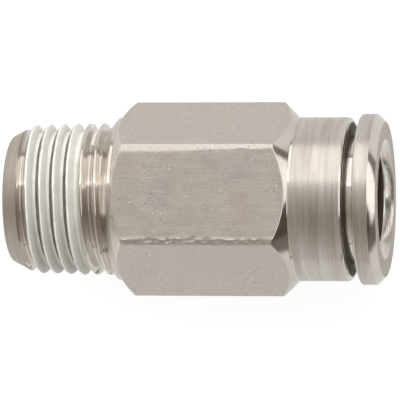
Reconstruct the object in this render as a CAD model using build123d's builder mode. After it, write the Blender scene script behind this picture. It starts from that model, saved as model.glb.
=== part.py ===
from build123d import *
import os
from math import cos, pi, radians, tan

# Straight push-in fitting in nickel plated brass: a taper thread at one end, a hexagon for the
# spanner, and a round housing that takes a 6 mm tube. The origin is on the axis at the small end
# of the thread. +X runs along the axis to the tube end, and +Z is the normal of one hexagon flat.
# All sizes are in millimetres, and stations are counted along X from the small end of the thread.
# Radii are built up from the tube outwards, and the inner stations from the tube end inwards.

# Tube that the fitting takes
tube_diameter = 6.0
tube_clearance = 0.05  # between the tube and its bore in the body, on the radius
tube_seat_length = 4.6  # bore that guides the tube between the seal and the stop
loose_fit = 0.05  # between the inner pieces and the chamber or each other

# Taper thread, R 1/8
thread_gauge_diameter = 9.728  # over the crests at the gauge plane
thread_gauge_length = 3.6  # from the small end to the gauge plane
thread_taper = 1 / 16  # on the diameter
thread_pitch = 0.907
thread_depth = 0.581
thread_crest_count = 6
lead_length = 1.37  # from the small end to the first full crest
lead_angle = 28.0  # from the axis
runout_share = 0.55  # of the thread's depth that the last groove still has
runout_length = 0.63  # from the last crest to the bottom of that groove

# Sealant coat
sealant_thickness = 0.06  # on the radius
sealant_crest_count = 4  # crests that it covers, counted from the small end

# Shoulder and hexagon
shoulder_rise = 0.36  # over the last crest, on the radius
shoulder_angle = 50.0  # from the axis
shoulder_land = 0.19  # narrow land between the shoulder and the hexagon's chamfer
hex_stand_out = 0.20  # flats over the housing, on the radius
hex_corner_round = 0.4
hex_left_chamfer = 0.84  # axial length, measured to a sharp corner
hex_corner_length = 9.67  # between the two chamfers, at a sharp corner
hex_right_chamfer = 1.14

# Housing
housing_length = 3.36
housing_chamfer = 0.36
mouth_wall = 0.65  # between the mouth's bore and the outside of the housing
chamber_step = 0.20  # from the mouth's bore down to the seal chamber, on the radius

# Through bore
through_bore_diameter = 4.5
bore_mouth_chamfer = 0.25

# Seal and spacer
seal_length = 2.0
seal_heel_height = 0.75
seal_lip_gap = 0.03  # the lip is drawn as a tube in place leaves it
seal_lip_land = 0.5
seal_lip_bevel = 0.55
spacer_thickness = 0.6
spacer_tube_gap = 0.15

# Guide
guide_length = 3.65
guide_wall = 0.545
guide_bore_length = 1.65
guide_cone_angle = 10.2  # from the axis
guide_press_clearance = 0.005

# Collet
collet_tube_gap = 0.08
collet_wall = 0.97
collet_clearance = 0.05  # running fit in the guide
release_room = 0.80  # from the spacer to the collet, which leaves room for the release stroke
collet_head_length = 1.80
collet_cone_length = 1.05
collet_relief_depth = 0.30
collet_relief_length = 1.20
collet_slot_count = 6
collet_slot_width = 0.6
spigot_step = 0.20  # how far the spigot is turned down from the neck
spigot_length = 0.56
bead_height = 0.12
bead_length = 0.36

# Chuck
claw_count = 12
claw_gap = 0.35
claw_tube_gap = 0.02  # the claws are drawn as a tube in place leaves them
claw_lean = 0.60  # axial length from the claw tips to the back of the rim
chuck_station = 0.80  # from the left end of the collet to the claw tips
chuck_sheet = 0.20
chuck_height = 0.66  # from the collet's bore to the outside of the rim
chuck_rim_width = 0.26
chuck_ring_gap = 0.7

# Release collar
collar_gap = 0.65  # between the end of the housing and the collar at rest
collar_thickness = 1.49
collar_overhang = 0.025  # over the hexagon's flats, on the radius
collar_front_chamfer_radial = 0.44
collar_front_chamfer_axial = 0.42
collar_back_chamfer = 0.10
collar_lead_in_height = 0.82  # from the bore to the edge of the lead-in, on the radius
collar_lead_in_depth = 0.50
collar_spin_clearance = 0.04  # running fit on the collet
collar_end_play = 0.05

# Radii, from the tube outwards
tube_radius = tube_diameter / 2
tube_bore_radius = tube_radius + tube_clearance
through_bore_radius = through_bore_diameter / 2
collet_bore_radius = tube_radius + collet_tube_gap
neck_radius = collet_bore_radius + collet_wall
guide_bore_radius = neck_radius + collet_clearance
guide_outer_radius = guide_bore_radius + guide_wall
mouth_radius = guide_outer_radius + guide_press_clearance
chamber_radius = mouth_radius - chamber_step
housing_radius = mouth_radius + mouth_wall


def crest_radius(station):
    """Radius over the thread's crests at a station along the axis."""
    return thread_gauge_diameter / 2 + (station - thread_gauge_length) * thread_taper / 2


# Stations of the outside, from the small end of the thread
last_crest = lead_length + (thread_crest_count - 1) * thread_pitch
last_crest_radius = crest_radius(last_crest)
runout_depth = thread_depth * runout_share
shoulder_radius = last_crest_radius + shoulder_rise
shoulder_start = last_crest + runout_length
shoulder_end = shoulder_start + (shoulder_rise + runout_depth) / tan(radians(shoulder_angle))
hex_start = shoulder_end + shoulder_land
hex_corner_start = hex_start + hex_left_chamfer
hex_corner_end = hex_corner_start + hex_corner_length
housing_start = hex_corner_end + hex_right_chamfer
housing_end = housing_start + housing_length
collar_start = housing_end + collar_gap
collar_end = collar_start + collar_thickness

# Stations of the inside, from the tube end inwards
guide_bore_start = housing_end - guide_bore_length
guide_start = housing_end - guide_length
guide_seat = guide_start - loose_fit
cone_end = guide_bore_start - collet_relief_depth
cone_start = cone_end - collet_cone_length
collet_start = cone_start - collet_head_length
spacer_end = collet_start - release_room
spacer_start = spacer_end - spacer_thickness
seal_end = spacer_start - loose_fit
seal_start = seal_end - seal_length
chamber_start = seal_start - loose_fit
tube_stop = chamber_start - tube_seat_length

# Hexagon: bar with rounded corners, chamfered at both ends by cones
hex_apothem = max(housing_radius, shoulder_radius) + hex_stand_out
hex_corner_radius = hex_apothem / cos(pi / 6)

with BuildPart() as hexagon:
    with BuildSketch(Plane.YZ.offset(hex_start)):
        RegularPolygon(hex_apothem, 6, major_radius=False)
    extrude(amount=housing_start - hex_start)
    fillet(hexagon.edges().filter_by(Axis.X), hex_corner_round)
    with BuildSketch(Plane.XY):
        with BuildLine():
            Polyline(
                (hex_start, 0),
                (hex_start, shoulder_radius),
                (hex_corner_start, hex_corner_radius),
                (hex_corner_end, hex_corner_radius),
                (housing_start, housing_radius),
                (housing_start, 0),
                close=True,
            )
        make_face()
    revolve(axis=Axis.X, mode=Mode.INTERSECT)


def thread_outline(crests, coat=0.0):
    """Outline along the axis over the first crests and the roots between them, raised by a coat."""
    points = []
    for i in range(crests):
        crest = lead_length + i * thread_pitch
        root = crest + thread_pitch / 2
        points.append((crest, crest_radius(crest) + coat))
        if i < crests - 1:
            points.append((root, crest_radius(root) - thread_depth + coat))
    return points


# Body: thread, shoulder and housing turned on the axis, with the stepped bore. The thread is drawn
# as rings of its pitch and section
lead_start_radius = crest_radius(lead_length) - lead_length * tan(radians(lead_angle))
runout_radius = last_crest_radius - runout_depth

with BuildPart() as body:
    with BuildSketch(Plane.XY):
        with BuildLine():
            Polyline(
                (0, 0),
                (0, lead_start_radius),
                *thread_outline(thread_crest_count),
                (shoulder_start, runout_radius),
                (shoulder_end, shoulder_radius),
                (hex_start, shoulder_radius),
                (housing_start, housing_radius),
                (housing_end - housing_chamfer, housing_radius),
                (housing_end, housing_radius - housing_chamfer),
                (housing_end, 0),
                close=True,
            )
        make_face()
    revolve(axis=Axis.X)
    add(hexagon.part)
    with BuildSketch(Plane.XY):
        with BuildLine():
            Polyline(
                (0, 0),
                (0, through_bore_radius + bore_mouth_chamfer),
                (bore_mouth_chamfer, through_bore_radius),
                (tube_stop, through_bore_radius),
                (tube_stop, tube_bore_radius),
                (chamber_start, tube_bore_radius),
                (chamber_start, chamber_radius),
                (guide_seat, chamber_radius),
                (guide_seat, mouth_radius),
                (housing_end, mouth_radius),
                (housing_end, 0),
                close=True,
            )
        make_face()
    revolve(axis=Axis.X, mode=Mode.SUBTRACT)

# Thread sealant: a thin coat that follows the flanks of the first threads
with BuildPart() as thread_sealant:
    with BuildSketch(Plane.XY):
        with BuildLine():
            Polyline(
                *thread_outline(sealant_crest_count),
                *reversed(thread_outline(sealant_crest_count, sealant_thickness)),
                close=True,
            )
        make_face()
    revolve(axis=Axis.X)

# Tube seal: rubber ring with a bevelled lip that the tube opens, and a heel in the chamber
seal_outer_radius = chamber_radius - loose_fit
seal_lip_radius = tube_radius + seal_lip_gap

with BuildPart() as tube_seal:
    with BuildSketch(Plane.XY):
        with BuildLine():
            Polyline(
                (seal_start, seal_outer_radius - seal_heel_height),
                (seal_start, seal_outer_radius),
                (seal_end, seal_outer_radius),
                (seal_end, seal_lip_radius + seal_lip_bevel),
                (seal_end - seal_lip_bevel, seal_lip_radius),
                (seal_end - seal_lip_bevel - seal_lip_land, seal_lip_radius),
                close=True,
            )
        make_face()
    revolve(axis=Axis.X)

# Seal spacer: washer between the seal and the collet
with BuildPart() as seal_spacer:
    with BuildSketch(Plane.YZ.offset(spacer_start)):
        Circle(seal_outer_radius)
        Circle(tube_radius + spacer_tube_gap, mode=Mode.SUBTRACT)
    extrude(amount=spacer_thickness)


def guide_cone_radius(station):
    """Radius of the guide's inner cone at a station inside its bore."""
    return guide_bore_radius + (guide_bore_start - station) * tan(radians(guide_cone_angle))


# Guide: ring pressed into the mouth, with the cone that closes the collet on the tube
with BuildPart() as guide:
    with BuildSketch(Plane.XY):
        with BuildLine():
            Polyline(
                (guide_start, guide_cone_radius(guide_start)),
                (guide_start, guide_outer_radius),
                (housing_end, guide_outer_radius),
                (housing_end, guide_bore_radius),
                (guide_bore_start, guide_bore_radius),
                close=True,
            )
        make_face()
    revolve(axis=Axis.X)

# Collet: slotted sleeve with conical heads at the inner end and the collar's spigot at the outer end
head_radius = guide_cone_radius(cone_start) - collet_clearance
cone_end_radius = guide_cone_radius(cone_end) - collet_clearance
relief_radius = neck_radius - collet_relief_depth
relief_end = cone_end + collet_relief_length
neck_end = collar_start - collar_end_play
spigot_radius = neck_radius - spigot_step
spigot_end = neck_end + spigot_length
bead_start = spigot_end - bead_length
claw_tip_station = collet_start + chuck_station
groove_start = claw_tip_station - loose_fit
groove_end = claw_tip_station + claw_lean + loose_fit
rim_radius = collet_bore_radius + chuck_height
groove_radius = rim_radius + loose_fit

with BuildPart() as collet:
    with BuildSketch(Plane.XY):
        with BuildLine():
            Polyline(
                (collet_start, collet_bore_radius),
                (collet_start, head_radius),
                (cone_start, head_radius),
                (cone_end, cone_end_radius),
                (cone_end + cone_end_radius - relief_radius, relief_radius),
                (relief_end - collet_relief_depth, relief_radius),
                (relief_end, neck_radius),
                (neck_end, neck_radius),
                (neck_end, spigot_radius),
                (bead_start, spigot_radius),
                (bead_start + bead_height, spigot_radius + bead_height),
                (spigot_end, spigot_radius),
                (spigot_end, collet_bore_radius),
                (groove_end, collet_bore_radius),
                (groove_end, groove_radius),
                (groove_start, groove_radius),
                (groove_start, collet_bore_radius),
                close=True,
            )
        make_face()
    revolve(axis=Axis.X)
    with BuildSketch(Plane.YZ.offset(collet_start)):
        with PolarLocations(head_radius, collet_slot_count):
            Rectangle(2 * head_radius, collet_slot_width)
    extrude(amount=relief_end - collet_start, mode=Mode.SUBTRACT)

# Chuck: pressed stainless ring in the collet's groove, its claws leaning inwards to the thread end
rim_end = claw_tip_station + claw_lean
rim_inner_radius = rim_radius - chuck_rim_width
claw_tip_radius = tube_radius + claw_tube_gap

with BuildPart() as chuck:
    with BuildSketch(Plane.XY):
        with BuildLine():
            Polyline(
                (rim_end - chuck_sheet, rim_radius),
                (rim_end, rim_radius),
                (rim_end, rim_inner_radius),
                (claw_tip_station + chuck_sheet, claw_tip_radius),
                (claw_tip_station, claw_tip_radius + chuck_sheet / 2),
                (rim_end - chuck_sheet, rim_inner_radius),
                close=True,
            )
        make_face()
    revolve(axis=Axis.X)
    with BuildSketch(Plane.YZ.offset(groove_start)):
        with PolarLocations(rim_inner_radius / 2, claw_count):
            Rectangle(rim_inner_radius, claw_gap)
        with Locations((rim_radius, 0)):
            Rectangle(2 * rim_radius, chuck_ring_gap)
    extrude(amount=groove_end - groove_start, mode=Mode.SUBTRACT)

# Release collar: flange that snaps over the spigot and turns on it, with the lead-in for the tube
collar_radius = hex_apothem + collar_overhang
counterbore_radius = spigot_radius + collar_spin_clearance
counterbore_end = spigot_end + collar_end_play
snap_groove_start = bead_start - collar_end_play
snap_groove_radius = counterbore_radius + bead_height
lead_in_radius = tube_bore_radius + collar_lead_in_height

with BuildPart() as release_collar:
    with BuildSketch(Plane.XY):
        with BuildLine():
            Polyline(
                (collar_start, counterbore_radius),
                (collar_start, collar_radius - collar_back_chamfer),
                (collar_start + collar_back_chamfer, collar_radius),
                (collar_end - collar_front_chamfer_axial, collar_radius),
                (collar_end, collar_radius - collar_front_chamfer_radial),
                (collar_end, lead_in_radius),
                (collar_end - collar_lead_in_depth, tube_bore_radius),
                (counterbore_end, tube_bore_radius),
                (counterbore_end, snap_groove_radius),
                (snap_groove_start + bead_height, snap_groove_radius),
                (snap_groove_start, counterbore_radius),
                close=True,
            )
        make_face()
    revolve(axis=Axis.X)

pieces = {
    "body": body,
    "thread_sealant": thread_sealant,
    "tube_seal": tube_seal,
    "seal_spacer": seal_spacer,
    "guide": guide,
    "collet": collet,
    "chuck": chuck,
    "release_collar": release_collar,
}

os.makedirs("parts", exist_ok=True)
for name, piece in pieces.items():
    piece.part.label = name
    export_step(piece.part, f"parts/{name}.step")
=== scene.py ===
import math
import bpy
import bmesh
from mathutils import Matrix, Vector, noise


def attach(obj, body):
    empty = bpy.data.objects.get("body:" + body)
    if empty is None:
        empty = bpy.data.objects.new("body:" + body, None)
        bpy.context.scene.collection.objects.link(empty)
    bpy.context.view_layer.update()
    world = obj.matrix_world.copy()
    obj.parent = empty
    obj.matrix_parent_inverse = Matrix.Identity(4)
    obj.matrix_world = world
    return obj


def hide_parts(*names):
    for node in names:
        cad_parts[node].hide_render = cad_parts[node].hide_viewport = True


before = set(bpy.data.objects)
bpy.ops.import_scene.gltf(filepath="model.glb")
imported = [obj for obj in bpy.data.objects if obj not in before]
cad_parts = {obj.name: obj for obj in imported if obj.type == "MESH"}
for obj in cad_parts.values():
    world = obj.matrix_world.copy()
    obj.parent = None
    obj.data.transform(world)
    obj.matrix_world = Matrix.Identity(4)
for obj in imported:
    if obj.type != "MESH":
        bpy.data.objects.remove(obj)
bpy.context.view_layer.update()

# Push-in fitting: nickel plated brass body with taper thread, hexagon and housing, and its release collar.
# Lengths here are millimetres along X from the small end of the thread, radii are from the axis, and
# angles around the axis run from +Y towards +Z, so the hexagon has corners at 0, 60, 120 ... degrees.

mm = 0.001


def smoothStep(a, b, x):
    t = min(1.0, max(0.0, (x - a) / (b - a)))
    return t * t * (3 - 2 * t)


def softMax(a, b, k):
    h = max(k - abs(a - b), 0.0) / k
    return max(a, b) + h * h * k / 4


def softMin(a, b, k):
    return -softMax(-a, -b, k)


def wobble(x, y=0.0, z=0.0):
    return noise.noise(Vector((x, y, z)))


def roundCorners(points):
    # each point is x, radius, size of the rounding and number of steps in it
    out = []
    for i, (x, r, size, steps) in enumerate(points):
        if size == 0:
            out.append((x, r))
            continue
        here = Vector((x, r))
        back = Vector(points[i - 1][:2]) - here
        ahead = Vector(points[i + 1][:2]) - here
        turn = math.pi - back.angle(ahead, math.pi)
        reach = min(size * math.tan(turn / 2), 0.45 * back.length, 0.45 * ahead.length)
        start = here + back.normalized() * reach
        end = here + ahead.normalized() * reach
        for s in range(steps + 1):
            t = s / steps
            p = start * (1 - t) ** 2 + here * 2 * t * (1 - t) + end * t ** 2
            out.append((p.x, p.y))
    return out


def ringPoint(x, r, angle):
    return (x * mm, r * math.cos(angle) * mm, r * math.sin(angle) * mm)


def newObject(name, vertices, faces, materials, slots=None, sharpAngle=30):
    mesh = bpy.data.meshes.new(name)
    mesh.from_pydata(vertices, [], faces)
    for material in materials:
        mesh.materials.append(material)
    if slots:
        mesh.polygons.foreach_set("material_index", slots)
    bm = bmesh.new()
    bm.from_mesh(mesh)
    bmesh.ops.remove_doubles(bm, verts=bm.verts, dist=3e-7)
    bmesh.ops.dissolve_degenerate(bm, edges=bm.edges, dist=1e-7)
    bmesh.ops.recalc_face_normals(bm, faces=bm.faces)
    for face in bm.faces:
        face.smooth = True
    for edge in bm.edges:
        edge.smooth = edge.calc_face_angle(0) < math.radians(sharpAngle)
    bm.to_mesh(mesh)
    bm.free()
    obj = bpy.data.objects.new(name, mesh)
    bpy.context.scene.collection.objects.link(obj)
    return obj


# Materials: patterns are laid out in millimetres, and those too fine for a picture of this size are drawn
# coarser than they really are

def linear(text):
    parts = [int(text[i:i + 2], 16) / 255 for i in (0, 2, 4)]
    return tuple(c / 12.92 if c <= 0.04045 else ((c + 0.055) / 1.055) ** 2.4 for c in parts) + (1.0,)


def addNode(tree, kind, inputs=None, out=0, **settings):
    # a socket among the inputs is linked and any other value is set; the answer is one output of the node
    node = tree.nodes.new("ShaderNode" + kind)
    for key, value in settings.items():
        setattr(node, key, value)
    for key, value in (inputs or {}).items():
        if isinstance(value, bpy.types.NodeSocket):
            tree.links.new(value, node.inputs[key])
        else:
            node.inputs[key].default_value = value
    return node.outputs[out] if node.outputs else None


def startMaterial(name):
    material = bpy.data.materials.new(name)
    material.use_nodes = True
    tree = material.node_tree
    tree.nodes.clear()
    place = addNode(tree, "TexCoord", out="Object")
    place = addNode(tree, "VectorMath", {0: place, "Scale": 1 / mm}, operation="SCALE")
    return material, tree, place


def finishMaterial(tree, color, roughness, height, bumpDepth, inputs):
    normal = addNode(tree, "Bump", {"Strength": 1.0, "Distance": bumpDepth * mm, "Height": height})
    surface = addNode(tree, "BsdfPrincipled",
                      {"Base Color": color, "Roughness": roughness, "Normal": normal, **inputs})
    addNode(tree, "OutputMaterial", {"Surface": surface})


def twoTone(tree, pattern, low, high, most, first, second):
    # the first colour turns into the second, at most this far, while the pattern rises from low to high
    share = addNode(tree, "MapRange", {0: pattern, 1: low, 2: high, 3: 0.0, 4: most})
    return addNode(tree, "Mix", {0: share, 6: first, 7: second}, 2, data_type="RGBA")


def latheLines(tree, place, perMm, around=0.35):
    # marks that a turning tool leaves: the pattern runs round the axis and changes fast along it
    x, y, z = addNode(tree, "SeparateXYZ", {0: place}).node.outputs
    angle = addNode(tree, "Math", {0: z, 1: y}, operation="ARCTAN2")
    section = addNode(tree, "CombineXYZ", {1: y, 2: z})
    radius = addNode(tree, "VectorMath", {0: section}, 1, operation="LENGTH")
    reach = addNode(tree, "Math", {0: x, 1: radius}, operation="ADD")
    along = addNode(tree, "Math", {0: reach, 1: perMm}, operation="MULTIPLY")
    cosine = addNode(tree, "Math", {0: angle}, operation="COSINE")
    sine = addNode(tree, "Math", {0: angle}, operation="SINE")
    turnX = addNode(tree, "Math", {0: cosine, 1: around}, operation="MULTIPLY")
    turnY = addNode(tree, "Math", {0: sine, 1: around}, operation="MULTIPLY")
    lined = addNode(tree, "CombineXYZ", {0: along, 1: turnX, 2: turnY})
    return addNode(tree, "TexNoise", {"Vector": lined, "Scale": 1.0, "Detail": 3.0, "Roughness": 0.6})


def nickelOnDrawnBar():
    # nickel plate over drawn hexagon brass: die lines run along the bar and the plating follows its pits, so
    # the flats look soft and even with a sprinkle of darker and brighter specks; the specks are drawn coarser
    look = {"light": "d0cac3", "warm": "cac2b9", "cool": "c6bfbb", "pit": "9c958f", "glint": "ebe7e2",
            "roughness": 0.40, "patchesPerMm": 0.32, "softPerMm": 1.3, "specksPerMm": 7.5, "wornPerMm": 0.45,
            "linesPerMm": 6.0, "speckStrength": 0.7, "lineDepth": 0.3, "speckDepth": 0.16}
    material, tree, place = startMaterial("nickelOnDrawnBar")
    patches = addNode(tree, "TexNoise", {"Vector": place, "Scale": look["patchesPerMm"], "Detail": 2.0})
    color = twoTone(tree, patches, 0.35, 0.65, 1.0, linear(look["warm"]), linear(look["cool"]))
    moved = addNode(tree, "Mapping", {"Vector": place, "Scale": (0.6, 1, 1)})
    soft = addNode(tree, "TexNoise",
                   {"Vector": moved, "Scale": look["softPerMm"], "Detail": 3.0, "Roughness": 0.6})
    color = twoTone(tree, soft, 0.3, 0.7, 0.6, color, linear(look["light"]))
    moved = addNode(tree, "Mapping", {"Vector": place, "Scale": (0.8, 1, 1), "Location": (3, 1, 7)})
    grain = addNode(tree, "TexNoise", {"Vector": moved, "Scale": look["specksPerMm"], "Detail": 2.0})
    moved = addNode(tree, "Mapping", {"Vector": place, "Location": (5, 2, 0)})
    where = addNode(tree, "TexNoise", {"Vector": moved, "Scale": look["wornPerMm"], "Detail": 2.0})
    worn = addNode(tree, "MapRange", {0: where, 1: 0.40, 2: 0.60, 3: 0.25, 4: 1.0})
    dark = addNode(tree, "MapRange", {0: grain, 1: 0.62, 2: 0.70, 3: 0.0, 4: 1.0})
    pale = addNode(tree, "MapRange", {0: grain, 1: 0.38, 2: 0.31, 3: 0.0, 4: 1.0})
    pits = addNode(tree, "Math", {0: dark, 1: worn}, operation="MULTIPLY")
    glints = addNode(tree, "Math", {0: pale, 1: worn}, operation="MULTIPLY")
    color = twoTone(tree, pits, 0.0, 1.0, look["speckStrength"], color, linear(look["pit"]))
    color = twoTone(tree, glints, 0.0, 1.0, look["speckStrength"], color, linear(look["glint"]))
    moved = addNode(tree, "Mapping", {"Vector": place, "Scale": (0.06, 1, 1), "Location": (0, 4, 0)})
    lines = addNode(tree, "TexNoise", {"Vector": moved, "Scale": look["linesPerMm"], "Detail": 2.0})
    lines = addNode(tree, "Math", {0: lines, 1: look["lineDepth"]}, operation="MULTIPLY")
    specks = addNode(tree, "Math", {0: glints, 1: pits}, operation="SUBTRACT")
    specks = addNode(tree, "Math", {0: specks, 1: look["speckDepth"]}, operation="MULTIPLY")
    height = addNode(tree, "Math", {0: lines, 1: specks}, operation="ADD")
    rough = look["roughness"]
    roughness = addNode(tree, "MapRange", {0: soft, 1: 0.3, 2: 0.7, 3: rough - 0.05, 4: rough + 0.06})
    finishMaterial(tree, color, roughness, height, 0.02, {"Metallic": 1.0})
    return material


def nickelOnTurnedBrass():
    # nickel plate over a turned cylinder: the fine rings of the tool spread a highlight along the axis, so
    # the light falls in soft bands across it; the rings are drawn coarser
    look = {"light": "d8d3ce", "dark": "b9b1a9", "roughness": 0.24, "ringsPerMm": 14.0, "broadPerMm": 2.6,
            "stretchedLight": 0.55}
    material, tree, place = startMaterial("nickelOnTurnedBrass")
    fine = latheLines(tree, place, look["ringsPerMm"])
    broad = latheLines(tree, place, look["broadPerMm"], 0.9)
    color = twoTone(tree, broad, 0.3, 0.7, 1.0, linear(look["light"]), linear(look["dark"]))
    rough = look["roughness"]
    roughness = addNode(tree, "MapRange", {0: fine, 1: 0.3, 2: 0.7, 3: rough - 0.06, 4: rough + 0.10})
    tangent = addNode(tree, "Tangent", direction_type="RADIAL", axis="X")
    lower = addNode(tree, "Math", {0: broad, 1: 0.6}, operation="MULTIPLY")
    height = addNode(tree, "Math", {0: fine, 1: lower}, operation="ADD")
    finishMaterial(tree, color, roughness, height, 0.008,
                   {"Metallic": 1.0, "Anisotropic": look["stretchedLight"], "Tangent": tangent})
    return material


def brightNickel():
    # bright nickel on machined chamfers and threads: nearly a mirror, broken up by the rings of the tool,
    # and soiled where thread grease caught dust at the bottom of three grooves
    look = {"light": "dcd7d0", "dark": "b3a99f", "roughness": 0.09, "ringsPerMm": 9.0, "patchesPerMm": 1.6,
            "dirt": "4b4640",
            "grime": ((1.05, -4.62, 0.5, 0.28), (5.55, -4.85, 0.5, 0.38), (6.45, -4.95, 0.5, 0.20))}
    material, tree, place = startMaterial("brightNickel")
    fine = latheLines(tree, place, look["ringsPerMm"], 1.4)
    patches = addNode(tree, "TexNoise",
                      {"Vector": place, "Scale": look["patchesPerMm"], "Detail": 3.0, "Roughness": 0.6})
    color = twoTone(tree, fine, 0.40, 0.75, 0.6, linear(look["light"]), linear(look["dark"]))
    ragged = addNode(tree, "Math", {0: patches, 1: 0.25}, operation="MULTIPLY")
    for x, y, z, size in look["grime"]:
        away = addNode(tree, "VectorMath", {0: place, 1: (x, y, z)}, 1, operation="DISTANCE")
        away = addNode(tree, "Math", {0: away, 1: ragged}, operation="ADD")
        color = twoTone(tree, away, size + 0.20, size + 0.02, 0.85, color, linear(look["dirt"]))
    rough = look["roughness"]
    roughness = addNode(tree, "MapRange", {0: patches, 1: 0.3, 2: 0.7, 3: rough - 0.03, 4: rough + 0.07})
    lower = addNode(tree, "Math", {0: patches, 1: 0.5}, operation="MULTIPLY")
    height = addNode(tree, "Math", {0: fine, 1: lower}, operation="ADD")
    finishMaterial(tree, color, roughness, height, 0.005, {"Metallic": 1.0})
    return material


def ringedMetal(name, look):
    # metal faced or bored in the lathe: an even sheen with faint rings in it
    material, tree, place = startMaterial(name)
    rings = latheLines(tree, place, look["ringsPerMm"], look["around"])
    color = twoTone(tree, rings, 0.3, 0.7, 1.0, linear(look["light"]), linear(look["dark"]))
    less, more = look["roughness"] - look["uneven"], look["roughness"] + look["uneven"]
    roughness = addNode(tree, "MapRange", {0: rings, 1: 0.3, 2: 0.7, 3: less, 4: more})
    finishMaterial(tree, color, roughness, rings, look["depth"], {"Metallic": look["metallic"]})
    return material


def cloudyMaterial(name, look):
    # a surface whose shade and sheen drift slowly from place to place
    material, tree, place = startMaterial(name)
    drift = addNode(tree, "TexNoise",
                    {"Vector": place, "Scale": look["perMm"], "Detail": 3.0, "Roughness": 0.6})
    low, high = look.get("spread", (0.3, 0.7))
    color = twoTone(tree, drift, low, high, 1.0, linear(look["light"]), linear(look["dark"]))
    less, more = look["roughness"] - look["uneven"], look["roughness"] + look["uneven"]
    roughness = addNode(tree, "MapRange", {0: drift, 1: 0.3, 2: 0.7, 3: less, 4: more})
    height = drift
    if "bumpsPerMm" in look:
        height = addNode(tree, "TexNoise",
                         {"Vector": place, "Scale": look["bumpsPerMm"], "Detail": 3.0, "Roughness": 0.6})
    finishMaterial(tree, color, roughness, height, look["depth"], look["surface"])
    return material


drawn = nickelOnDrawnBar()
turned = nickelOnTurnedBrass()
bright = brightNickel()
# plated lead chamfer and collar face, faced with a coarse insert: satin, without any mirror in it; on the
# collar face its darker colour is painted shade
satinWithPaintedShade = ringedMetal("satinNickelWithPaintedShade", {
    "light": "c0b8af", "dark": "b0a79c", "roughness": 0.46, "uneven": 0.05, "ringsPerMm": 6.0, "around": 0.5,
    "depth": 0.01, "metallic": 1.0})
# brass behind the collar and in its bores, painted dark brown for the shade in the gap and down the bores:
# dull and dark
gapShadeBrown = ringedMetal("brassPaintedDarkForShade", {
    "light": "6b5a49", "dark": "463a2f", "roughness": 0.50, "uneven": 0.06, "ringsPerMm": 7.0, "around": 0.8,
    "depth": 0.006, "metallic": 0.6})
# thread flanks between the sealed turns: rough, and painted darker grey for the shade in the grooves between
# the sealed crests
flankPaintedShade = cloudyMaterial("threadFlankPaintedShade", {
    "light": "908e85", "dark": "6c6a62", "roughness": 0.50, "uneven": 0.08, "perMm": 2.2,
    "spread": (0.35, 0.65), "depth": 0.01, "surface": {"Metallic": 1.0}})
# resin sealant with ptfe, brushed on and baked: chalky white, slightly uneven where it ran in the groove
sealantWhite = cloudyMaterial("bakedThreadSealant", {
    "light": "eeeeea", "dark": "e0e0da", "roughness": 0.55, "uneven": 0.1, "perMm": 1.1, "bumpsPerMm": 4.0,
    "depth": 0.02, "surface": {"Specular IOR Level": 0.4}})
# moulded nitrile rubber of the hidden seal: black and matt
rubber = cloudyMaterial("nitrileRubber", {
    "light": "1c1b1a", "dark": "151413", "roughness": 0.55, "uneven": 0.06, "perMm": 2.0, "depth": 0.01,
    "surface": {"Metallic": 0.0}})
# pressed stainless sheet of the hidden claws: grey, with a soft sheen from the press
stainless = cloudyMaterial("pressedStainless", {
    "light": "b9b8b4", "dark": "a3a19c", "roughness": 0.3, "uneven": 0.06, "perMm": 2.0, "depth": 0.01,
    "surface": {"Metallic": 1.0}})
print("materials made")


# Thread, shared by the body and its sealant

thread = {"pitch": 0.907, "depth": 0.581, "round": 0.125, "flank": 27.5, "gaugeRadius": 4.864, "gaugeAt": 3.6,
          "crestAt": 1.47, "leadEnd": 1.37, "leadAngle": 28.0, "fadeFrom": 0.62, "fadeTo": 1.2,
          "shoulderEnd": 7.1056, "shoulderRadius": 5.2956, "shoulderAngle": 50.0}


def crestRadius(x):
    return thread["gaugeRadius"] + (x - thread["gaugeAt"]) / 32


def leadRadius(x):
    rise = math.tan(math.radians(thread["leadAngle"]))
    return crestRadius(thread["leadEnd"]) - (thread["leadEnd"] - x) * rise


def grooveDepth(t):
    # t counts pitches from a crest, and crest and root are rounded alike
    t = t - math.floor(t)
    s = min(t, 1 - t) * thread["pitch"]
    r = thread["round"]
    flank = math.radians(thread["flank"])
    edge = r * math.cos(flank)
    sag = r * (1 - math.sin(flank))
    half = thread["pitch"] / 2
    if s < edge:
        return r - math.sqrt(r * r - s * s)
    if s > half - edge:
        return thread["depth"] - (r - math.sqrt(max(0.0, r * r - (half - s) ** 2)))
    return sag + (thread["depth"] - 2 * sag) * (s - edge) / (half - 2 * edge)


def threadRadius(x, angle):
    turns = (x - thread["crestAt"]) / thread["pitch"] - angle / (2 * math.pi)
    fade = smoothStep(thread["fadeFrom"], thread["fadeTo"], x)
    r = crestRadius(x) - fade * grooveDepth(turns)
    r = softMin(r, leadRadius(x), 0.03)
    rise = math.tan(math.radians(thread["shoulderAngle"]))
    shoulder = thread["shoulderRadius"] - (thread["shoulderEnd"] - x) * rise
    return softMax(r, shoulder, 0.03)


# Body: one closed skin of columns round the axis, whose rows follow the thread's helix where there is thread

body = {"leadStart": 0.12, "leadStartRadius": 4.130, "endRadius": 3.98,
        "hexStart": 7.2956, "cornerStart": 8.1356, "cornerEnd": 17.8056, "coneEnd": 18.82,
        "housingStart": 18.9456, "apothem": 5.5, "cornerRound": 0.35, "faceRows": 96,
        "housingRadius": 5.3, "housingEnd": 22.3056, "housingRound": 0.42, "mouthBore": 4.65,
        "mouthEnd": 18.6056, "chamberBore": 4.45, "chamberEnd": 14.0056, "tubeBore": 3.05, "tubeEnd": 9.4056,
        "throughBore": 2.25, "boreChamfer": 0.25, "turns": 10, "leadFacedTo": 1.25, "sealedTurns": (3, 6),
        "dullSteps": (11, 15)}
plating = {"drawn": 0, "turned": 1, "lead": 2, "bright": 3, "gapShadeBrown": 4, "flankPaintedShade": 5}
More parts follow.
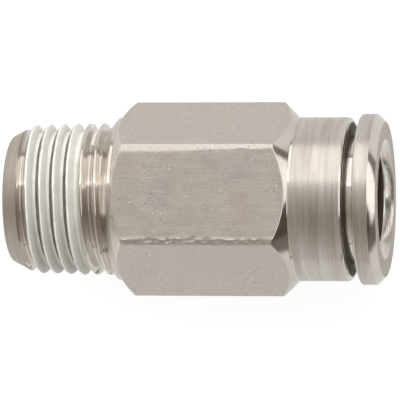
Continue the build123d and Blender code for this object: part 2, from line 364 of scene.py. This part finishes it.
# wear on the two front corners: how far the rubbed band reaches down either face of the upper one and how
# much its edges wave, and the burr along the lower one
wear = {"far": 0.13, "farWave": 0.015, "nearLeft": 0.42, "nearRight": 0.20, "nearWave": 0.07,
        "burrHeight": 0.030, "burrWidth": 0.5, "burrAt": -2.5, "lowerRound": 0.42, "dentWidth": 1.6,
        "dentStrength": 1.7}
dents = [  # in the lower corner: station, half length, degrees from the corner, depth
    (9.35, 0.28, -1.2, 0.035), (9.95, 0.35, -1.8, 0.05), (10.35, 0.18, -1.0, 0.06), (11.2, 0.30, -1.3, 0.055),
    (12.1, 0.45, -1.5, 0.05), (12.75, 0.30, -2.3, 0.045), (13.6, 0.40, -1.4, 0.05), (14.35, 0.30, -1.0, 0.05),
    (15.6, 0.22, -1.4, 0.03), (16.35, 0.35, -1.2, 0.035), (17.1, 0.25, -1.6, 0.035)]


def hexRadius(fromCorner, cornerRound):
    a = body["apothem"]
    d = (a - cornerRound) / math.cos(math.pi / 6)
    tangent = math.atan2(cornerRound / 2, d + cornerRound * math.cos(math.pi / 6))
    if abs(fromCorner) < tangent:
        return d * math.cos(fromCorner) + math.sqrt(cornerRound ** 2 - (d * math.sin(fromCorner)) ** 2)
    return a / math.cos(math.pi / 6 - abs(fromCorner))


def barRadius(corner, offset, x):
    # radius of the bar's skin beside one of its corners
    degrees = math.degrees(offset)
    if corner == 1:  # upper front corner: rubbed flat to a bright band with a ragged lower edge
        flat = body["apothem"] / math.cos(math.pi / 6 - abs(offset))
        far = wear["far"] + wear["farWave"] * wobble(x * 0.7, 1.0)
        near = wear["nearLeft"] + (wear["nearRight"] - wear["nearLeft"]) * smoothStep(10.0, 18.0, x)
        near += wear["nearWave"] * wobble(x * 1.1, 4.2) + wear["nearWave"] * wobble(x * 3.7, 8.2)
        across, up = 0.866 * far, near + 0.5 * far  # the faces meet at 120 degrees
        cornerY = body["apothem"] * math.tan(math.pi / 6)
        distance = (across * (cornerY - near) + up * body["apothem"]) / math.hypot(across, up)
        rubbed = distance / math.cos(math.pi / 3 + offset - math.atan2(up, across))
        return softMin(flat, rubbed, 0.010)
    if corner != 2:
        return hexRadius(offset, body["cornerRound"] + 0.05 * wobble(x * 0.8, corner * 3.3))
    # lower front corner: dented, with a thin burr along its upper side
    r = hexRadius(offset, wear["lowerRound"] + 0.12 * wobble(x * 1.3, 7.7) + 0.08 * wobble(x * 4.0, 2.0))
    middle = wear["burrAt"] + 0.7 * wobble(x * 0.9, 3.3) + 0.35 * wobble(x * 3.3, 5.0)
    r += wear["burrHeight"] * math.exp(-((degrees - middle) / wear["burrWidth"]) ** 2)
    for station, half, side, depth in dents:
        aside = degrees - side
        near = ((x - station + 0.1 * aside) / half) ** 2 + (aside / wear["dentWidth"]) ** 2
        if near < 1:
            r -= wear["dentStrength"] * depth * (1 - near) * (0.7 + 0.8 * wobble(x * 7, degrees))
    return r


def buildBody():
    # degrees from a corner, close together where its round and its wear are
    offsets = [0.3, 0.6, 0.95, 1.3, 1.7, 2.15, 2.7, 3.4, 4.3, 5.5, 7, 9, 11.3, 13.9, 16.5, 19.2, 21.9, 24.6,
               27.3]
    sector = [-o for o in reversed(offsets)] + [0] + offsets + [30]
    columns = [(corner, math.radians(o)) for corner in range(6) for o in sector]
    columns.sort(key=lambda column: (column[0] * math.pi / 3 + column[1]) % (2 * math.pi))
    # rows over one pitch, from crest to crest, close together where crest and root are round
    steps = [0, 0.04, 0.08, 0.122, 0.2, 0.29, 0.378, 0.42, 0.46, 0.5, 0.54, 0.58, 0.622, 0.71, 0.8, 0.878,
             0.92, 0.96]
    perPitch = len(steps)
    helixRows = body["turns"] * perPitch + 1
    pitch = thread["pitch"]
    firstCrest = thread["crestAt"] - 3 * pitch
    vertices = []
    for corner, offset in columns:
        angle = (corner * math.pi / 3 + offset) % (2 * math.pi)
        column = [(body["leadStart"] * 0.35, body["leadStartRadius"] - 0.07)]
        for i in range(helixRows):
            x = firstCrest + pitch * (i // perPitch + steps[i % perPitch] + angle / (2 * math.pi))
            x = min(max(x, body["leadStart"]), thread["shoulderEnd"])
            column.append((x, threadRadius(x, angle)))
        sharp = body["apothem"] / math.cos(math.pi / 6)

        def rho(x):
            return barRadius(corner, offset, x)

        left = rho(body["cornerStart"])
        right = rho(body["cornerEnd"])
        leftX = body["hexStart"] + (left - thread["shoulderRadius"]) / (sharp - thread["shoulderRadius"]) \
            * (body["cornerStart"] - body["hexStart"])
        rightX = body["coneEnd"] - (right - body["housingRadius"]) / (sharp - body["housingRadius"]) \
            * (body["coneEnd"] - body["cornerEnd"])
        end = body["housingEnd"]
        outline = [(thread["shoulderEnd"] - 0.1, thread["shoulderRadius"] - 0.12, 0, 0),
                   (thread["shoulderEnd"], thread["shoulderRadius"], 0.05, 3),
                   (body["hexStart"], thread["shoulderRadius"], 0.03, 2),
                   (leftX, left, 0.07, 4),
                   (rightX, right, 0.12, 6),
                   (body["coneEnd"], body["housingRadius"], 0.12, 4),
                   (body["housingStart"], body["housingRadius"], 0.02, 2),
                   (end, body["housingRadius"], body["housingRound"], 12),
                   (end, body["mouthBore"], 0.03, 2), (body["mouthEnd"], body["mouthBore"], 0, 0),
                   (body["mouthEnd"], body["chamberBore"], 0, 0),
                   (body["chamberEnd"], body["chamberBore"], 0, 0),
                   (body["chamberEnd"], body["tubeBore"], 0, 0),
                   (body["tubeEnd"], body["tubeBore"], 0.03, 2), (body["tubeEnd"], body["throughBore"], 0, 0),
                   (body["boreChamfer"], body["throughBore"], 0.04, 2),
                   (0, body["throughBore"] + body["boreChamfer"], 0.04, 2), (0, body["endRadius"], 0, 0)]
        rounded = roundCorners(outline)[1:]
        split = 4 + 3 + 5  # points before the flats: two rounded corners, then the one at their start
        faceStart = rounded[split - 1][0]
        faceEnd = rounded[split][0]
        step = (faceEnd - faceStart) / (body["faceRows"] + 1)
        stations = [faceStart + step * (k + 1) for k in range(body["faceRows"])]
        column += rounded[:split] + [(x, rho(x)) for x in stations] + rounded[split:]
        vertices += [ringPoint(x, r, angle) for x, r in column]
        rows = len(column)
    faceFrom = 1 + helixRows + split
    faceTo = faceFrom + body["faceRows"]
    housingAt = faceTo + 7 + 5 + 3  # rows of the rounded corners before the housing, then of its own end
    endAt = housingAt + 13
    # turns of the thread whose left flanks lie between sealed crests, and the steps that are such a flank
    firstDull, lastDull = (turn * perPitch for turn in body["sealedTurns"])
    dullFrom, dullTo = body["dullSteps"]
    faces = []
    slots = []
    total = len(columns)
    for c in range(total):
        n = (c + 1) % total
        for i in range(rows):
            j = (i + 1) % rows
            a, b = i, j
            if n == 0 and 1 <= i < helixRows + 1:
                if i + perPitch >= helixRows or j > helixRows:
                    continue
                a, b = i + perPitch, j + perPitch
            faces.append((c * rows + i, c * rows + j, n * rows + b, n * rows + a))
            x = vertices[c * rows + i][0] / mm
            r = math.hypot(*vertices[c * rows + i][1:]) / mm
            if i <= helixRows and x < body["leadFacedTo"] and r > leadRadius(x) - 0.03:
                slots.append(plating["lead"])
            elif firstDull <= i - 1 < lastDull and dullFrom <= (i - 1) % perPitch <= dullTo:
                # left flanks between sealed crests are painted darker grey for the shade in the grooves
                slots.append(plating["flankPaintedShade"])
            elif faceFrom - 2 <= i < faceTo + 1:
                slots.append(plating["drawn"])
            elif housingAt - 2 <= i < housingAt + 3:
                slots.append(plating["turned"])
            elif endAt - 1 <= i < endAt + 3:
                # the housing's end face and mouth take the brass painted dark for the shade in the gap behind
                # the collar
                slots.append(plating["gapShadeBrown"])
            else:
                slots.append(plating["bright"])
    return newObject("fittingBody", vertices, faces, [drawn, turned, satinWithPaintedShade, bright, gapShadeBrown, flankPaintedShade], slots)


fittingBody = buildBody()
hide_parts("body")
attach(fittingBody, "body")
print("body made", len(fittingBody.data.polygons))


# Sealant: a band that follows the helix over each crest and down the flank that faces the hexagon

sealant = {"from": -115.0, "to": 4 * 360 + 40.0, "step": 2.5, "coat": 0.055, "taperStart": 35.0,
           "taperEnd": 60.0, "leftEdge": 0.0, "rightEdge": 0.70, "coatEnd": 0.56, "samples": 22, "sunk": 0.03}


def sealantHeight(t, degrees):
    # height of the coat over the metal at t pitches from the crest
    here = degrees % 360
    turn = degrees / 360
    start = smoothStep(sealant["from"], sealant["from"] + sealant["taperStart"], degrees)
    end = 1 - smoothStep(sealant["to"] - sealant["taperEnd"], sealant["to"], degrees)
    strength = min(start, end)
    left = 0.03 * wobble(turn * 14, 1.5) + 0.012 * wobble(turn * 60, 3.5)
    left += 0.25 * (1 - strength)
    right = sealant["coatEnd"] * strength + 0.03 * wobble(turn * 9, 6.5) + 0.015 * wobble(turn * 45, 8.5)
    coat = sealant["coat"] * (1 + 0.35 * wobble(turn * 7, t * 3)) * smoothStep(left - 0.02, left + 0.06, t) \
        * (1 - smoothStep(right - 0.05, right + 0.05, t))
    upper = 0.5 + 0.5 * math.cos(math.radians(here - 10))
    fill = (0.01 + 0.06 * upper ** 3 + 0.04 * wobble(turn * 11, 12.0)) * strength
    if t > 0.2:
        fill -= thread["depth"] - grooveDepth(t)
        coat = softMax(coat, fill, 0.06) if fill > -0.1 else coat
    return coat


def buildSealant():
    count = int((sealant["to"] - sealant["from"]) / sealant["step"])
    m = sealant["samples"]
    vertices = []
    for k in range(count + 1):
        degrees = sealant["from"] + k * sealant["step"]
        angle = math.radians(degrees)
        inner = []
        for j in range(m):
            t = sealant["leftEdge"] - 0.05 + (sealant["rightEdge"] - sealant["leftEdge"] + 0.05) * j / (m - 1)
            x = thread["crestAt"] + thread["pitch"] * (degrees / 360 + t)
            metal = threadRadius(x, angle % (2 * math.pi))
            height = sealantHeight(t, degrees)
            top = metal + (height if height > 0.004 else -0.012)
            if j in (0, m - 1):
                top = metal - sealant["sunk"] + 0.004
            vertices.append(ringPoint(x, top, angle))
            inner.append(ringPoint(x, metal - sealant["sunk"], angle))
        vertices += reversed(inner)
    ring = 2 * m
    faces = [tuple(range(ring)), tuple(count * ring + i for i in reversed(range(ring)))]
    for k in range(count):
        for i in range(ring):
            j = (i + 1) % ring
            faces.append((k * ring + i, (k + 1) * ring + i, (k + 1) * ring + j, k * ring + j))
    return newObject("sealantCoat", vertices, faces, [sealantWhite], None, 60)


sealantCoat = buildSealant()
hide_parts("thread_sealant")
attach(sealantCoat, "body")
print("sealant made")


# Release collar: turned flange with a lead-in for the tube. Its slots are rings outside, bright chamfers, a
# satin front face painted darker for its shade, and a bore painted dark brown for the shade inside it.

collar = {"start": 22.9556, "end": 24.4456, "radius": 5.525, "backChamfer": 0.10, "frontAxial": 0.49,
          "frontRadial": 0.51, "leadIn": 3.87, "leadInDepth": 0.5, "bore": 3.05, "counterbore": 3.89,
          "counterboreEnd": 23.5156, "snapStart": 23.0556, "snapRadius": 4.01, "columns": 240}


def buildCollar():
    s, e, r = collar["start"], collar["end"], collar["radius"]
    outline = [(s, collar["counterbore"], 0.02, 2), (s, r - collar["backChamfer"], 0.04, 3),
               (s + collar["backChamfer"], r, 0.04, 3), (e - collar["frontAxial"], r, 0.05, 4),
               (e, r - collar["frontRadial"], 0.06, 4), (e, collar["leadIn"], 0.05, 4),
               (e - collar["leadInDepth"], collar["bore"], 0.12, 4),
               (collar["counterboreEnd"], collar["bore"], 0.02, 2),
               (collar["counterboreEnd"], collar["snapRadius"], 0, 0),
               (collar["snapStart"] + 0.12, collar["snapRadius"], 0, 0),
               (collar["snapStart"], collar["counterbore"], 0, 0)]
    profile = roundCorners(outline[-1:] + outline + [(s, collar["counterbore"], 0, 0)])[1:-1]
    count = collar["columns"]
    rows = len(profile)
    vertices = [ringPoint(x, rr, 2 * math.pi * c / count) for c in range(count) for x, rr in profile]
    faces = []
    slots = []
    for c in range(count):
        n = (c + 1) % count
        for i in range(rows):
            j = (i + 1) % rows
            faces.append((c * rows + i, c * rows + j, n * rows + j, n * rows + i))
            flat = abs(profile[i][1] - r) < 0.005 and abs(profile[j][1] - r) < 0.005
            face = abs(profile[i][0] - e) < 0.002 and abs(profile[j][0] - e) < 0.002
            inside = profile[i][1] < collar["bore"] + 0.01 and profile[j][1] < collar["bore"] + 0.01
            # the front face takes the satin painted darker for its shade, and the bore the brass painted dark
            # for the shade inside it
            slots.append(0 if flat else 2 if face else 3 if inside else 1)
    return newObject("collarFlange", vertices, faces, [turned, bright, satinWithPaintedShade, gapShadeBrown], slots)


collarFlange = buildCollar()
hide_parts("release_collar")
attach(collarFlange, "collar")
print("collar made")

# the guide takes the brass painted dark brown for the shade in the gap behind the collar
for name, material in (("collet", bright), ("chuck", stainless), ("guide", gapShadeBrown), ("tube_seal", rubber),
                       ("seal_spacer", turned)):
    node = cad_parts[name]
    node.data.materials.clear()
    node.data.materials.append(material)
print("inner parts dressed")


# Floor: pale board that lights the fitting from below. It is white to the camera and keeps the fitting's
# shadow. For all other rays it ends beyond the tube end, where small cards lie for the mouth to mirror.

floor = {"height": -5.53, "size": 900.0, "edge": (54.0, 68.0), "slant": 0.5, "board": 0.10,
         "near": (0.71, 0.70, 0.69, 1), "far": (0.10, 0.085, 0.07, 1), "whiteBoard": 0.22, "whiteGlow": 0.86,
         "cardsFrom": (26.6, 27.2), "cardsTo": (35.0, 36.0), "cardsWide": (3.0, 4.0), "cardsSpan": 2.0,
         "cards": ((-1.3, 0.55), (-0.5, 0.30), (-0.30, 0.25), (-0.22, 1.4), (0.16, 1.4), (0.24, 0.03),
                   (0.80, 0.03), (1.0, 0.6))}


def setStops(ramp, count):
    stops = ramp.node.color_ramp.elements
    while len(stops) < count:
        stops.new(0.5)
    return stops


def buildFloor():
    half = floor["size"] * mm / 2
    low = floor["height"] * mm
    mesh = bpy.data.meshes.new("floorBoard")
    mesh.from_pydata([(-half, -half, low), (half, -half, low), (half, half, low), (-half, half, low)], [],
                     [(0, 1, 2, 3)])
    material, tree, place = startMaterial("lightTable")
    x, y = addNode(tree, "SeparateXYZ", {0: place}).node.outputs[:2]
    slanted = addNode(tree, "Math", {0: y, 1: floor["slant"]}, operation="MULTIPLY")
    beyond = addNode(tree, "Math", {0: x, 1: slanted}, operation="SUBTRACT")
    lit = twoTone(tree, beyond, *floor["edge"], 1.0, floor["near"], floor["far"])
    inner, outer = floor["cardsFrom"]
    start = addNode(tree, "MapRange", {0: x, 1: inner, 2: outer, 3: 0.0, 4: 1.0})
    inner, outer = floor["cardsTo"]
    end = addNode(tree, "MapRange", {0: x, 1: inner, 2: outer, 3: 1.0, 4: 0.0})
    inner, outer = floor["cardsWide"]
    aside = addNode(tree, "Math", {0: y}, operation="ABSOLUTE")
    aside = addNode(tree, "MapRange", {0: aside, 1: inner, 2: outer, 3: 1.0, 4: 0.0})
    there = addNode(tree, "Math", {0: start, 1: end}, operation="MULTIPLY")
    there = addNode(tree, "Math", {0: there, 1: aside}, operation="MULTIPLY")
    span = floor["cardsSpan"]
    across = addNode(tree, "MapRange", {0: y, 1: -span, 2: span, 3: 0.0, 4: 1.0})
    cards = addNode(tree, "ValToRGB", {0: across})
    for stop, (at, level) in zip(setStops(cards, len(floor["cards"])), floor["cards"]):
        stop.position = (at + span) / (2 * span)
        stop.color = (level, level * 0.985, level * 0.97, 1)
    lit = addNode(tree, "Mix", {0: there, 6: lit, 7: cards}, 2, data_type="RGBA")
    board = addNode(tree, "BsdfDiffuse", {"Color": (floor["board"],) * 3 + (1,)})
    lamp = addNode(tree, "Emission", {"Color": lit})
    table = addNode(tree, "AddShader", {0: board, 1: lamp})
    white = addNode(tree, "BsdfDiffuse", {"Color": (floor["whiteBoard"],) * 3 + (1,)})
    glow = addNode(tree, "Emission", {"Strength": floor["whiteGlow"]})
    seen = addNode(tree, "AddShader", {0: white, 1: glow})
    cameraRay = addNode(tree, "LightPath", out="Is Camera Ray")
    mix = addNode(tree, "MixShader", {0: cameraRay, 1: table, 2: seen})
    addNode(tree, "OutputMaterial", {"Surface": mix})
    mesh.materials.append(material)
    obj = bpy.data.objects.new("floorBoard", mesh)
    bpy.context.scene.collection.objects.link(obj)
    return obj


buildFloor()


# Camera: long lens almost straight above, ten degrees round towards the tube end

camera = {"target": (12.285, -0.065, 0), "distance": 311.7, "side": 10.0, "down": 3.05, "roll": 0.62,
          "lens": 432.0}


def placeCamera():
    side, down = math.radians(camera["side"]), math.radians(camera["down"])
    toCamera = Vector((math.sin(side), -math.sin(down) * math.cos(side), math.cos(down) * math.cos(side)))
    up = Vector((0, 1, 0))
    right = up.cross(toCamera).normalized()
    up = toCamera.cross(right)
    roll = math.radians(camera["roll"])
    tilted = right * math.cos(roll) + up * math.sin(roll)
    up = toCamera.cross(tilted)
    data = bpy.data.cameras.new("camera")
    data.lens = camera["lens"]
    data.sensor_width = 36
    data.clip_start = 0.01
    data.clip_end = 10
    obj = bpy.data.objects.new("camera", data)
    place = (Vector(camera["target"]) + toCamera * camera["distance"]) * mm
    obj.matrix_world = Matrix.Translation(place) @ Matrix((tilted, up, toCamera)).transposed().to_4x4()
    bpy.context.scene.collection.objects.link(obj)
    bpy.context.scene.camera = obj


placeCamera()


# Studio: a long softbox over the far side that the metal mirrors, and two lamps that it doesn't, which
# light the matt sealant. The room itself is painted in the world.

softboxes = [
    {"name": "longSoftbox", "centre": (-40, 201, 168.6), "width": 640, "height": 291, "radiance": 1.14,
     "mirrored": True},
    {"name": "keyLight", "centre": (-150, 150, 190), "width": 420, "height": 240, "radiance": 1.9,
     "mirrored": False},
    {"name": "fillLight", "centre": (-150, -200, 140), "width": 300, "height": 200, "radiance": 1.0,
     "mirrored": False}]


def addSoftbox(box):
    data = bpy.data.lights.new(box["name"], "AREA")
    data.shape = "RECTANGLE"
    data.size = box["width"] * mm
    data.size_y = box["height"] * mm
    data.energy = box["radiance"] * math.pi * data.size * data.size_y
    obj = bpy.data.objects.new(box["name"], data)
    obj.visible_glossy = box["mirrored"]
    centre = Vector(box["centre"])
    away = centre.normalized()
    along = Vector((1, 0, 0))
    along = (along - away * along.dot(away)).normalized()
    across = away.cross(along)
    obj.matrix_world = Matrix.Translation(centre * mm) @ Matrix((along, across, away)).transposed().to_4x4()
    bpy.context.scene.collection.objects.link(obj)


for box in softboxes:
    addSoftbox(box)


# ring: angle from straight above towards the far side, in degrees, and the shade of the room there.
# Beyond the tube end stand a dark wall below a slanted line, a bright card past that line, a pale wall
# farther round, and a bright strip higher up that the rounded edges mirror. Directions are unit vectors.

room = {
    "ring": ((-180, "e6e2de"), (-92, "e6e2de"), (-78, "cbc6c1"), (-62, "bab4ae"), (-45, "a9a29c"),
             (-28, "9d9690"), (-12, "b2aba5"), (0, "c6c0bb"), (9, "d0cbc6"), (17, "dfdbd7"), (25, "f6f4f2"),
             (30, "a29b95"), (83, "a29b95"), (88, "ddd9d5"), (180, "e6e2de")),
    "dark": "574e46", "wall": "c6c0ba", "card": (1.4, 1.379, 1.351, 1), "side": (0.5, 0.75),
    "darkTop": (0.5, 0.62),
    "lineAt": -0.19, "lineLevel": 0.09, "lineSlope": 1.3, "lineBlur": 0.03, "cardEnd": (0.47, 0.51),
    "cardTop": (0.45, 0.49), "wallFrom": (0.40, 0.48), "stripFrom": (0.33, 0.40), "stripAbove": (0.40, 0.48),
    "stripMiddle": 0.10, "stripHalf": (0.42, 0.50)}


def buildRoom():
    world = bpy.data.worlds.new("studioRoom")
    bpy.context.scene.world = world
    world.use_nodes = True
    tree = world.node_tree
    tree.nodes.clear()

    def within(value, limits, rising=True):
        first, last = (0.0, 1.0) if rising else (1.0, 0.0)
        return addNode(tree, "MapRange", {0: value, 1: limits[0], 2: limits[1], 3: first, 4: last})

    def both(a, b):
        return addNode(tree, "Math", {0: a, 1: b}, operation="MULTIPLY")

    way = addNode(tree, "TexCoord", out="Generated")
    dx, dy, dz = addNode(tree, "SeparateXYZ", {0: way}).node.outputs
    around = addNode(tree, "Math", {0: dy, 1: dz}, operation="ARCTAN2")
    ring = addNode(tree, "ValToRGB", {0: within(around, (-math.pi, math.pi))})
    for stop, (degrees, shade) in zip(setStops(ring, len(room["ring"])), room["ring"]):
        stop.position = (degrees + 180) / 360
        stop.color = linear(shade)
    level = addNode(tree, "Math", {0: dz, 1: room["lineLevel"]}, operation="SUBTRACT")
    level = addNode(tree, "Math", {0: level, 1: room["lineSlope"]}, operation="MULTIPLY")
    line = addNode(tree, "Math", {0: level, 1: room["lineAt"]}, operation="ADD")
    past = addNode(tree, "Math", {0: dy, 1: line}, operation="SUBTRACT")
    past = within(past, (-room["lineBlur"], room["lineBlur"]))
    short = addNode(tree, "Math", {0: 1.0, 1: past}, operation="SUBTRACT")
    side = within(dx, room["side"])
    dark = both(both(side, within(dz, room["darkTop"], False)), short)
    color = addNode(tree, "Mix", {0: dark, 6: ring, 7: linear(room["dark"])}, 2, data_type="RGBA")
    beyond = both(side, within(dy, room["wallFrom"]))
    color = addNode(tree, "Mix", {0: beyond, 6: color, 7: linear(room["wall"])}, 2, data_type="RGBA")
    card = both(both(past, within(dy, room["cardEnd"], False)), both(side, within(dz, room["cardTop"], False)))
    aside = addNode(tree, "Math", {0: dy, 1: room["stripMiddle"]}, operation="SUBTRACT")
    aside = addNode(tree, "Math", {0: aside}, operation="ABSOLUTE")
    strip = both(within(dx, room["stripFrom"]), within(dz, room["stripAbove"]))
    strip = both(strip, within(aside, room["stripHalf"], False))
    card = addNode(tree, "Math", {0: card, 1: strip}, operation="MAXIMUM")
    color = addNode(tree, "Mix", {0: card, 6: color, 7: room["card"]}, 2, data_type="RGBA")
    studio = addNode(tree, "Background", {"Color": color})
    blank = addNode(tree, "Background", {"Color": (1, 1, 1, 1)})
    cameraRay = addNode(tree, "LightPath", out="Is Camera Ray")
    mix = addNode(tree, "MixShader", {0: cameraRay, 1: studio, 2: blank})
    addNode(tree, "OutputWorld", {"Surface": mix})


buildRoom()
bpy.context.scene.view_settings.view_transform = "Standard"
print("studio made")
